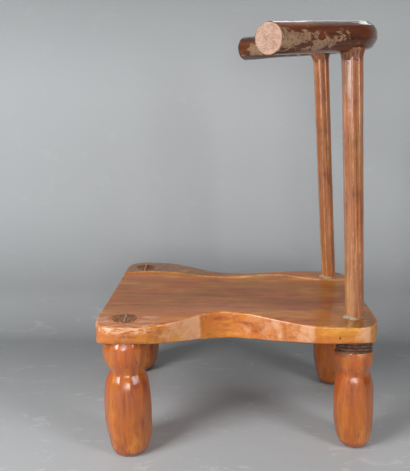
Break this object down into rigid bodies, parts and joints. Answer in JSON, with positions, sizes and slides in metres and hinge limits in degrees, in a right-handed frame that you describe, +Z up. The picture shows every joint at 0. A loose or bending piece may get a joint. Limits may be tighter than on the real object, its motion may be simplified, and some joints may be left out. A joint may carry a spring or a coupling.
{
  "type": "african birthing chair",
  "caption": "Low carved wooden chair: hourglass plank seat on club-shaped legs, with upright posts carrying a bent rail that forms the back and both arms.",
  "frame": {"origin": "on the floor, under the middle of the chair's box", "axes": "+Z is up, the chair faces -Y, and +X is the sitter's left"},
  "size_m": [0.4549, 0.475, 0.6993],
  "materials": {
    "seat_wood": "worn glossy lacquer on adzed hardwood",
    "leg_wood": "glossy lacquer, turned by hand tools",
    "post_wood": "glossy lacquer on faceted uprights",
    "rail_wood": "dark patina worn through to pale wood",
    "wedge_wood": "bare end grain",
    "packing_wood": "rough, charred black-brown",
    "peg_wood": "dark end grain",
    "filler": "dry greenish grey gap filler, partly brown"
  },
  "bodies": {
    "root": {"seat_plank": "seat_wood", "front_left_leg": "leg_wood", "front_right_leg": "leg_wood", "front_left_tenon_wedge": "wedge_wood", "front_right_tenon_wedge": "wedge_wood", "rear_left_leg": "leg_wood", "rear_right_leg": "leg_wood", "rear_left_leg_shim": "packing_wood", "left_post": "post_wood", "right_post": "post_wood", "arm_rail": "rail_wood", "left_post_base_filler": "filler", "right_post_base_filler": "filler", "left_rail_filler": "filler", "right_rail_filler": "filler", "front_left_locking_peg": "peg_wood", "front_right_locking_peg": "peg_wood", "rear_left_locking_peg": "peg_wood", "rear_right_locking_peg": "peg_wood"}
  },
  "joints": []
}
